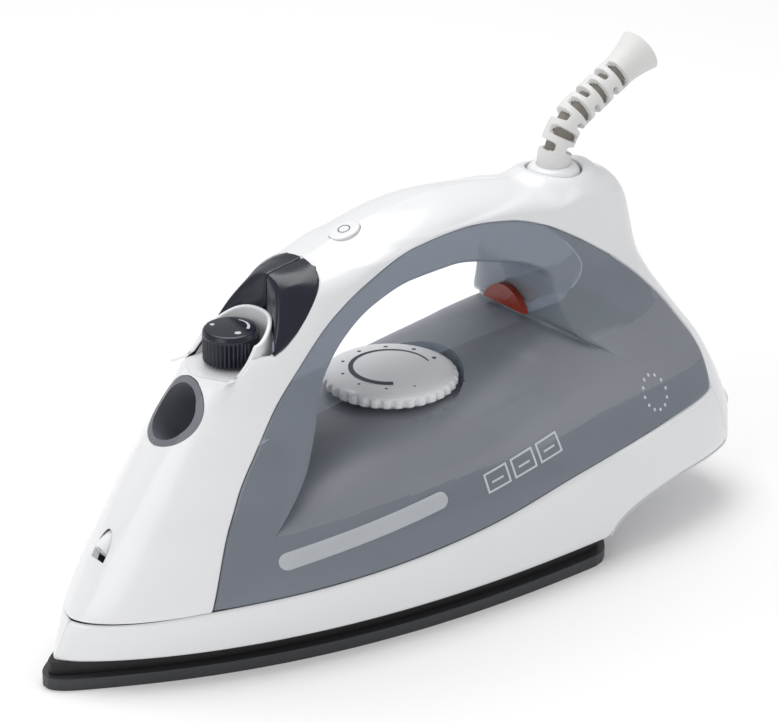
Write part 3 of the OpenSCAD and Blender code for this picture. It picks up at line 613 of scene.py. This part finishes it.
# ---------------------------------------------------------------------------------------------
# Rear cover: the white moulding that closes the back below the cord outlet and carries the feet.
# A sill at its foot meets the skirt's heel.
# ---------------------------------------------------------------------------------------------
rear_start = along([(224, 93.7), (238, 82), (248, 70), (253, 56), (251, 44.4), (259.5, 21.8)], 120)
rear_end = along([(242.5, 106), (248, 84), (256, 72), (263, 58), (267, 44.4), (270, 21.8)], 120)
rear_rows = mirrored(even_rows(skin_side(rear_start, rear_end, 300), 50))
rear_face = (60, 5, (0, -1, 0))
rear_rows = roll_edge(rear_rows, edge_round, rear_face)
sill = rear_rows[-1]
sill_in = sill.copy()
sill_in[:, 0] = 259.3
rear = add_piece("rear_closure", [grid_mesh(rear_rows, rear_face),
                                  grid_mesh(np.stack([sill, sill_in]), (0, 50, (0, 0, -1)))],
                 gloss_white, sharp=50)
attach(rear, "housing")
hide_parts("rear_cover")


# ---------------------------------------------------------------------------------------------
# Spray and burst caps: two dark caps side by side in the handle's front, each with a top facet,
# a front facet and a side facet. Moulded in near-black plastic with a thin wall.
# ---------------------------------------------------------------------------------------------
ink_plastic = two_tone("ink_plastic", (0.004, 0.006, 0.016), (0.007, 0.010, 0.023), 60.0, 0.15, 0.0001, 900.0,
                       Roughness=0.24)
cap_rows = np.array([       # from the pocket backwards: lower edge, ridge, top facet, centre seam
    [(80.4, 16.3, 97.4), (81.0, 15.2, 99.6), (84.8, 10.0, 101.0), (88.9, 0.15, 103.4)],
    [(86.0, 17.0, 100.8), (84.6, 12.6, 106.3), (87.2, 6.5, 108.4), (89.3, 0.15, 110.0)],
    [(92.9, 16.7, 107.0), (89.5, 8.4, 114.2), (89.8, 4.5, 116.3), (90.0, 0.15, 117.5)],
    [(98.0, 15.6, 112.8), (94.0, 9.0, 116.2), (94.3, 4.5, 117.7), (94.8, 0.15, 118.3)],
    [(101.6, 12.6, 116.3), (98.8, 8.6, 117.6), (99.2, 4.5, 118.4), (99.6, 0.15, 118.8)],
    [(103.9, 7.8, 118.8), (103.4, 6.0, 119.1), (103.8, 3.5, 119.4), (104.2, 0.15, 119.5)]])
fine_cap = np.stack([along(cap_rows[:, k], 61) for k in range(4)], 1)
fine_cap = np.stack([along(row, 31) for row in fine_cap])
cap_face = (30, 20, (0, 0, 1))
for side, body, node in ((-1, "spray_key", "spray_button"), (1, "burst_key", "burst_button")):
    cap = roll_edge(fine_cap * (1, side, 1), 0.6, cap_face)
    cap_piece = add_piece(node + "_cap", [grid_mesh(cap, cap_face)], ink_plastic, sharp=50, thick=1.4)
    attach(cap_piece, body)
    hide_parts(node)


# ---------------------------------------------------------------------------------------------
# Knob pocket: the ledge and the arched wall that the steam knob stands in, part of the white cover.
# The wall rises from the ledge in a rounded lip and comes down again on its outer side.
# ---------------------------------------------------------------------------------------------
ledge_z, arch_z = 91.3, 105.6
ledge_x = np.linspace(float(nose_x(ledge_z)) + 0.4, knob_x + pocket_r, 60)
round_end = np.sqrt(np.clip(pocket_r ** 2 - (ledge_x - knob_x) ** 2, 0, None))
open_front = 69                         # ahead of this the ledge runs out to the skin
ledge_half = np.where(ledge_x < open_front, 30, np.where(ledge_x < knob_x, pocket_r, round_end))
ledge_half = np.minimum(ledge_half, half_width(ledge_x, ledge_z) - 0.2) + 0.05
ledge_rows = np.stack(np.broadcast_arrays(ledge_x[:, None], ledge_half[:, None] * np.linspace(-1, 1, 25),
                                          ledge_z), -1)
turn_a = np.linspace(-np.pi / 2, np.pi / 2, 90)
straight = np.linspace(61, knob_x, 22)[:-1]
beside = np.full(len(straight), pocket_r)
wall_x = np.concatenate([straight, knob_x + pocket_r * np.cos(turn_a), straight[::-1]])
wall_y = np.concatenate([-beside, pocket_r * np.sin(turn_a), beside])
levels = np.linspace(ledge_z, 119, 240)
inside = ((half_width(wall_x[:, None], levels) > np.abs(wall_y[:, None]) + 0.5)
          & (levels < top_z(wall_x[:, None]) - 0.5))
wall_top = np.where(inside, levels, ledge_z).max(1)
arch = ledge_z + (arch_z - ledge_z) * np.clip(1 - (wall_y / 13.6) ** 4, 0, 1) ** 0.6
front_top = np.interp(wall_x, *np.array(front_line).T)
wall_top = np.minimum(wall_top, np.where(wall_x < knob_x, front_top, np.maximum(arch, ledge_z)))
out_x = np.where(wall_x > knob_x, (wall_x - knob_x) / pocket_r, 0)
out_y = np.where(wall_x > knob_x, wall_y / pocket_r, np.sign(wall_y))
lip = 1.5                               # thickness of the wall
climb = np.linspace(0, 1, 20)
rim = np.linspace(0, np.pi, 9)
off = np.concatenate([np.zeros(20), lip / 2 * (1 - np.cos(rim)), np.full(19, lip)])
up = np.concatenate([climb, np.ones(9), climb[::-1][1:]])
over = np.concatenate([np.zeros(20), 0.6 * np.sin(rim), np.zeros(19)])
wall_rise = (wall_top[:, None] - ledge_z) * up + over * (wall_top[:, None] > ledge_z + 1)
wall_rows = np.stack([wall_x[:, None] + out_x[:, None] * off, wall_y[:, None] + out_y[:, None] * off,
                      ledge_z + wall_rise], -1)
pocket = add_piece("knob_pocket", [grid_mesh(ledge_rows, (30, 12, (0, 0, 1))),
                                   grid_mesh(wall_rows, (60, 5, (-1, 0, 0)))], gloss_white, sharp=40)
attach(pocket, "housing")


# ---------------------------------------------------------------------------------------------
# Steam knob: a ribbed dark cylinder with a domed glossy top, moulded and pushed onto the valve's
# stem. The marks on top are printed: an arc that widens, and two spots.
# ---------------------------------------------------------------------------------------------
def lathe(profile, centre, turns=96, ripple=None):
    """A surface of revolution about a vertical line: (radius, height) rows turned round, the radius
    changed by ripple(angle, radius, height) when given; first and last rows may sit on the axis."""
    profile = np.asarray(profile, float)
    a = np.linspace(0, 2 * np.pi, turns, endpoint=False)
    r = np.broadcast_to(profile[:, :1], (len(profile), turns)).copy()
    h = np.broadcast_to(profile[:, 1:], (len(profile), turns)).copy()
    if ripple is not None:
        r = r + ripple(a[None, :], r, h)
    P = np.stack([centre[0] + r * np.cos(a), centre[1] + r * np.sin(a), centre[2] + h], -1)
    return grid_mesh(P, wrap=True)


def fine_profile(keys, step=0.25):
    """A profile through keys with points every step, corners kept."""
    keys = np.asarray(keys, float)
    out = [keys[:1]]
    for a, b in zip(keys[:-1], keys[1:]):
        n = max(int(np.ceil(np.linalg.norm(b - a) / step)), 1)
        out.append(a + (b - a) * np.linspace(0, 1, n + 1)[1:, None])
    return np.concatenate(out)


def outward(piece):
    """The piece with its closed surface turned outwards and shaded smooth again."""
    recalc_outward(piece.data)
    piece.data.polygons.foreach_set("use_smooth", np.ones(len(piece.data.polygons), bool))
    piece.data.set_sharp_from_angle(angle=math.radians(45))
    return piece


knob_r, knob_h, ribs = 9.2, 13.3, 40
dome_r, shoulder = 7.6, 1.4             # the flat part of the top, and the round at its edge


def knob_ribs(a, r, h):
    """Narrow flutes round the side that fade out below the domed top."""
    side = (np.clip((r - 6.5) / 2.0, 0, 1) * np.clip((knob_h - 2.2 - h) / 0.5, 0, 1)
            * np.clip((h - 0.6) / 0.4, 0, 1))
    return -0.55 * side * (0.5 + 0.5 * np.cos(a * ribs)) ** 1.5


knob_profile = fine_profile([(0.01, 0.3), (7.2, 0.2), (9.0, 0.3), (knob_r, 0.7), (knob_r, 10.9),
                             (9.1, 11.4)], 0.4).tolist()
dome_a = np.linspace(0, np.pi / 2, 12)
knob_profile += [(dome_r + shoulder * np.cos(t), 11.5 + shoulder * np.sin(t)) for t in dome_a]
knob_profile += [(r, 12.9 + 0.4 * (1 - (r / dome_r) ** 2)) for r in (6.5, 5.2, 3.8, 2.4, 1.0, 0.01)]
knob_profile = [(r, 2.2 + 0.86 * h) for r, h in knob_profile]      # stands clear of the ledge
knob = outward(add_piece("steam_knob_grip", [lathe(knob_profile, (knob_x, 0, knob_z), ribs * 12, knob_ribs)],
                         ink_plastic))
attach(knob, "knob_turn")
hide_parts("steam_knob")

pale_print = two_tone("pale_print", (0.50, 0.53, 0.58), (0.60, 0.62, 0.66), 400.0, Roughness=0.5)
dark_print = two_tone("dark_print", (0.02, 0.028, 0.05), (0.03, 0.038, 0.065), 400.0, Roughness=0.5)


def arc_band(centre, inner, outer, start, stop, height, n=48):
    """A thin printed arc on a level face: its two radii may each be a pair, start and end."""
    t = np.linspace(0, 1, n)
    a = np.radians(start + (stop - start) * t)
    ri = inner[0] + (inner[1] - inner[0]) * t
    ro = outer[0] + (outer[1] - outer[0]) * t
    r = np.stack([ri, ro])
    P = np.stack(np.broadcast_arrays(centre[0] + r * np.cos(a), centre[1] + r * np.sin(a),
                                     centre[2] + height), -1)
    return grid_mesh(P, (0, 10, (0, 0, 1)))


def dot(centre, r, n=16):
    """A small round printed spot with a slight dome."""
    return lathe([(r, 0.0), (0.7 * r, 0.05), (0.01, 0.06)], centre, n)


knob_marks = [arc_band((knob_x, 0, knob_z), (5.2, 5.2), (5.6, 6.3), 25, -60, 13.6),
              dot((knob_x - 3.6, 5.0, knob_z + 13.45), 0.8),
              dot((knob_x - 1.2, -5.4, knob_z + 13.5), 1.1)]
knob_print = add_piece("knob_marks", knob_marks, pale_print)
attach(knob_print, "knob_turn")


# ---------------------------------------------------------------------------------------------
# Temperature dial: a white scalloped disc, domed on top, moulded and pressed onto its shaft.
# A dark ring that tapers is printed on it, with spots outside that grow.
# ---------------------------------------------------------------------------------------------
dial_foot, scallops = 64.7, 34


def dial_scallops(a, r, h):
    """Round bites out of the edge, evenly spaced, that fade below the domed face."""
    edge = np.clip((r - 20.5) / 1.5, 0, 1) * np.clip((3.9 - h) / 1.2, 0, 1)
    return -1.1 * edge * np.abs(np.cos(a * scallops / 2)) ** 4


dial_profile = fine_profile([(0.01, 0.0), (21.6, 0.0), (22.8, 0.9), (22.85, 2.4), (22.5, 3.2), (21.6, 3.9),
                             (20.2, 4.5), (18, 4.95), (14, 5.35), (9, 5.6), (0.01, 5.75)], 0.35)
dial_turned = lathe(dial_profile, (dial_x, 0, dial_foot), scallops * 18, dial_scallops)
dial = outward(add_piece("dial_disc", [dial_turned], gloss_white))
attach(dial, "dial_turn")
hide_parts("temperature_dial")

spot_ring = 16.4                        # radius on which the spots lie
dial_marks = [arc_band((dial_x, 0, dial_foot), (11.9, 13.2), (14.2, 13.7), 235, -20, 5.5, 120)]
for k in range(9):
    mark = np.radians(260 - 34 * k)
    spot = (dial_x + spot_ring * np.cos(mark), spot_ring * np.sin(mark), dial_foot + 5.12)
    dial_marks.append(dot(spot, 0.45 + 0.06 * k))
dial_print = add_piece("dial_marks", dial_marks, dark_print)
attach(dial_print, "dial_turn")


# ---------------------------------------------------------------------------------------------
# Cord swivel and bend relief: a low dome that turns in the cover's collar, and a soft matt sleeve
# that leans back, ringed with slots so that it bends, and flared at its mouth.
# ---------------------------------------------------------------------------------------------
soft_white = two_tone("soft_white", (0.70, 0.70, 0.69), (0.76, 0.76, 0.75), 120.0, 0.3, 0.0002,
                      Roughness=0.55)
# Painted shade: a dark beige-brown laid on the slot faces and the bore's inner end, standing for the shadow
# inside these recesses.
slot_painted_shade = two_tone("slot_painted_shade", (0.20, 0.185, 0.16), (0.26, 0.245, 0.215), 160.0, Roughness=0.8)

hole_r, dome_out, swivel_foot = 5.9, 9.3, 117.5
swivel_profile = fine_profile([(hole_r, swivel_foot), (9.2, swivel_foot), (dome_out, 118.0),
                               (dome_out, 121.2)], 0.4).tolist()
swivel_profile += [(hole_r + (dome_out - hole_r) * np.cos(t), 121.4 + 3.6 * np.sin(t))
                   for t in np.linspace(0, np.pi / 2, 14)]
swivel_profile += [(hole_r, 124.2), (hole_r, swivel_foot)]
swivel = outward(add_piece("swivel_dome", [lathe(swivel_profile, (swivel_x, 0, 0), 96)], gloss_white))
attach(swivel, "cord_turret")
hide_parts("cord_swivel")

relief_foot, relief_bend, relief_lean, relief_straight = 122.6, 20.3, math.radians(62), 31.7
rise_to = 124.0 - relief_foot
arc_l = relief_bend * relief_lean
relief_total = rise_to + arc_l + relief_straight


def relief_path(s):
    """Middle line and its direction: straight up, a round bend backwards, then straight."""
    a = np.clip((s - rise_to) / arc_l, 0, 1) * relief_lean
    past = np.clip(s - rise_to - arc_l, 0, None)
    x = swivel_x + relief_bend * (1 - np.cos(a)) + past * np.sin(a)
    z = relief_foot + np.minimum(s, rise_to) + relief_bend * np.sin(a) + past * np.cos(a)
    return x, z, a


s_run = np.linspace(0, relief_total, 300)
turn_round = np.linspace(0, 2 * np.pi, 96, endpoint=False)
S, A = np.meshgrid(s_run, turn_round, indexing="ij")
flare_out = 5.8 + 2.2 * np.clip((S - relief_total + 11) / 11, 0, 1) ** 1.6
slot_from, slot_to = 6.0, relief_total - 11.5
slot_levels = 8
slot_pitch = (slot_to - slot_from) / slot_levels
slot_turn = math.radians(-115)
slot_deep = 2.0
slot_k = np.floor((S - slot_from) / slot_pitch)
slot_s = (S - slot_from) / slot_pitch - slot_k - 0.5
quarter = slot_turn + np.where(slot_k % 2 == 0, np.pi / 2, 0.0)
slot_a = (A - quarter + np.pi / 2) % np.pi - np.pi / 2
oval = (np.abs(slot_s) / 0.3) ** 4 + (np.abs(slot_a) / 1.15) ** 4
slots = np.clip((1.25 - oval) / 0.5, 0, 1) * (S > slot_from) * (S < slot_to)
radius = flare_out - slot_deep * slots


def round_path(x, z, lean, r, a):
    """Points at radius r and angle a round a path's point, square to its lean."""
    return np.stack(np.broadcast_arrays(x + r * np.cos(a) * np.cos(lean), r * np.sin(a),
                                        z - r * np.cos(a) * np.sin(lean)), -1)


outer_wall = round_path(*relief_path(S), radius, A)
end_x, end_z, end_lean = relief_path(relief_total)
bore = [(7.9, 0.0), (7.2, -0.5), (5.6, 1.2), (4.4, 4.0), (3.85, 7.0), (3.7, 16.0), (0.01, 16.2)]
mouth = np.stack([round_path(end_x - back * np.sin(end_lean), end_z - back * np.cos(end_lean), end_lean, r,
                             turn_round) for r, back in bore])       # (radius, depth) rows of the bore
relief = outward(add_piece("relief_sleeve", [grid_mesh(np.concatenate([outer_wall, mouth]), wrap=True)],
                           soft_white))
relief.data.materials.append(slot_painted_shade)
# The faces inside the slots and the last rows deep in the mouth's bore get the painted shade material, for
# the shadow in these hollows.
painted_shade_faces = np.zeros((len(s_run) - 1 + len(mouth), len(turn_round)), bool)
painted_shade_faces[:len(s_run) - 1] = (slots[:-1] > 0.55) & (slots[1:] > 0.55)
painted_shade_faces[-4:] = True
relief.data.polygons.foreach_set("material_index", painted_shade_faces.astype(int).ravel()[:len(relief.data.polygons)])
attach(relief, "cord_turret")
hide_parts("bend_relief")


# ---------------------------------------------------------------------------------------------
# Reset button: an oval white key almost flush in the top of the handle, with a printed ring.
# Moulded, and held up by a small spring over its switch.
# ---------------------------------------------------------------------------------------------
key_a, key_b, ring_h = 5.5, 4.5, 0.62
key_profile = fine_profile([(0.97, -3.0), (1.0, -2.6), (1.0, 0.1), (0.985, 0.25), (0.93, 0.4), (0.8, 0.5),
                            (0.5, 0.58), (0.01, 0.6)], 0.12)[:, None, :]
a = np.linspace(0, 2 * np.pi, 96, endpoint=False)[None, :, None]
key_grid = (reset_at + key_profile[..., :1] * (key_a * np.cos(a) * reset_u + key_b * np.sin(a) * sideways)
            + key_profile[..., 1:] * reset_out)
reset_key = outward(add_piece("reset_key_top", [grid_mesh(key_grid, wrap=True)], gloss_white))
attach(reset_key, "reset_key")
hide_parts("reset_button")

ring_r = np.linspace(1.75, 2.1, 4)[:, None, None]
ring_grid = reset_at + ring_h * reset_out + ring_r * (np.cos(a) * reset_u + np.sin(a) * sideways)
reset_ring = add_piece("reset_key_ring", [grid_mesh(ring_grid, (1, 5, reset_out), wrap=True)], dark_print)
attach(reset_ring, "reset_key")


# ---------------------------------------------------------------------------------------------
# Trims on both sides: a long pill-shaped plate without lettering, three framed squares and a ring
# of dots, all printed or stuck on the grey band.
# ---------------------------------------------------------------------------------------------
def on_skin(x, z, side, lift):
    """Points on the outer skin at stations and heights, lifted off it sideways."""
    return np.stack([x, side * (half_width(x, z) + lift), z], -1)


def pill(side):
    """A rounded bar along the band: a grid whose width follows a half circle at both ends."""
    u = np.concatenate([1 - np.cos(np.linspace(0, np.pi / 2, 14)), np.linspace(1, 19, 60)[1:-1],
                        19 + np.sin(np.linspace(0, np.pi / 2, 14))]) / 20
    width = np.sqrt(np.clip(1 - np.clip(np.maximum(1 - u * 20, u * 20 - 19), 0, 1) ** 2, 0, 1))
    v = np.linspace(-1, 1, 13)
    mid_x, mid_z = 65.8 + 60.8 * u, 36.4 + 6.3 * u ** 0.8 + 1.8 * u ** 2
    x = mid_x[:, None] - 0.4 * v * width[:, None]
    z = mid_z[:, None] + 2.75 * v * width[:, None]
    height = 0.08 + 0.5 * np.clip(1 - v ** 6, 0, 1)[None, :] * width[:, None] ** 0.5
    return grid_mesh(on_skin(x, z, side, height), (30, 6, (0, side, 0)))


def bump(x0, z0, side, r):
    """A small round raised dot on the skin."""
    a = np.linspace(0, 2 * np.pi, 14, endpoint=False)
    q = np.array([1.0, 0.75, 0.02])[:, None]
    lift = np.array([0.03, 0.2, 0.26])[:, None]
    return grid_mesh(on_skin(x0 + q * r * np.cos(a), z0 + q * r * np.sin(a), side, lift), wrap=True)


plate_grey = two_tone("plate_grey", (0.42, 0.44, 0.47), (0.47, 0.49, 0.52), 90.0, Roughness=0.3)
plates = add_piece("side_plates", [pill(-1), pill(1)], plate_grey)
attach(plates, "housing")

frame_bars = [(0, 1, 0, 0.1), (0, 1, 0.9, 1), (0, 0.08, 0, 1), (0.92, 1, 0, 1), (0.25, 0.75, 0.4, 0.5)]
tiles = []
for side in (-1, 1):
    for k in range(3):
        for left, right, low, high in frame_bars:
            u, v = np.meshgrid(np.linspace(left, right, 9), np.linspace(low, high, 9), indexing="ij")
            tx = 142.5 + 11.6 * (k + u * 0.86) - 0.8 * v
            tz = 41.2 + 1.75 * (k + u * 0.86) + 6.4 * v
            tiles.append(grid_mesh(on_skin(tx, tz, side, np.full(u.shape, 0.07)), (3, 3, (0, side, 0))))
tile_piece = add_piece("side_tiles", tiles, pale_print)
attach(tile_piece, "housing")

clock_x, clock_z, clock_r = 222.0, 51.8, 5.3
clock_dots = []
for side in (-1, 1):
    for k in range(12):
        hour = math.radians(30 * k)
        clock_dots.append(bump(clock_x + clock_r * math.cos(hour), clock_z + clock_r * math.sin(hour),
                               side, 0.55))
clock = outward(add_piece("clock_dots", clock_dots, pale_print))
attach(clock, "housing")


# ---------------------------------------------------------------------------------------------
# Sole and shield: the cast aluminium soleplate with its speckled dark coating, and the black
# moulded shield that keeps its heat from the skirt.
# ---------------------------------------------------------------------------------------------
def coat(finish, *nodes):
    """Gives nodes that keep their own shape, or stand behind a piece made here, a finish."""
    for node in nodes:
        bpy.data.objects[node].data.materials[0] = finish


coat(two_tone("coated_sole", (0.018, 0.019, 0.022), (0.045, 0.047, 0.052), 2200.0, 0.25, 0.0001, 3000.0,
              Roughness=0.42), "soleplate")
coat(two_tone("shield_black", (0.004, 0.004, 0.005), (0.008, 0.008, 0.009), 80.0, Roughness=0.5),
     "heat_shield", "reset_switch")


# ---------------------------------------------------------------------------------------------
# Shells and controls behind the pieces above, and the spout, nozzle and feet that keep their
# shape: each in the plastic of the moulding it belongs to.
# ---------------------------------------------------------------------------------------------
coat(gloss_white, "spray_nozzle", "heel_feet", "top_cover", "rear_cover", "skirt", "cord_swivel",
     "reset_button", "temperature_dial")
coat(soft_white, "bend_relief")
coat(ink_plastic, "steam_knob", "spray_button", "burst_button")
coat(smoke_polished, "water_tank", "handle_shell", "tank_base")
coat(two_tone("spout_grey", (0.14, 0.15, 0.17), (0.18, 0.19, 0.21), 70.0, Roughness=0.3), "fill_spout")


# ---------------------------------------------------------------------------------------------
# Pilot light: a red clear-moulded lens at the foot of the rear post, with its lamp behind it.
# ---------------------------------------------------------------------------------------------
coat(two_tone("lens_red", (0.22, 0.018, 0.008), (0.36, 0.035, 0.012), 300.0, 0.4, 0.0003, 700.0,
              Roughness=0.12), "pilot_lens")
coat(two_tone("lamp_glow", (0.7, 0.3, 0.1), (0.8, 0.36, 0.14), 200.0, Roughness=0.2), "pilot_lamp")


# ---------------------------------------------------------------------------------------------
# Works inside: steel, aluminium and brass pieces, pale moulded ones, rubber seals and sleeved
# wires, and the circuit board.
# ---------------------------------------------------------------------------------------------
coat(two_tone("works_metal", (0.42, 0.42, 0.43), (0.55, 0.55, 0.56), 90.0, 0.1, Roughness=0.35, Metallic=1.0),
     "heating_element", "steam_chamber_cover", "valve_stem", "spray_spring", "burst_spring", "reset_spring",
     "dial_shaft", "thermostat", "soleplate_screws")
coat(two_tone("works_plastic", (0.62, 0.61, 0.58), (0.70, 0.69, 0.66), 60.0, Roughness=0.45),
     "spray_hose", "burst_hose", "spray_plunger", "burst_plunger", "spray_pump", "burst_pump",
     "swivel_retainer", "terminal_block", "thermal_fuse")
coat(two_tone("works_rubber", (0.30, 0.10, 0.05), (0.38, 0.13, 0.07), 80.0, Roughness=0.6),
     "valve_seat", "stem_gland", "lead_wires")
coat(two_tone("board_green", (0.02, 0.12, 0.05), (0.03, 0.17, 0.07), 150.0, Roughness=0.4), "auto_off_board")
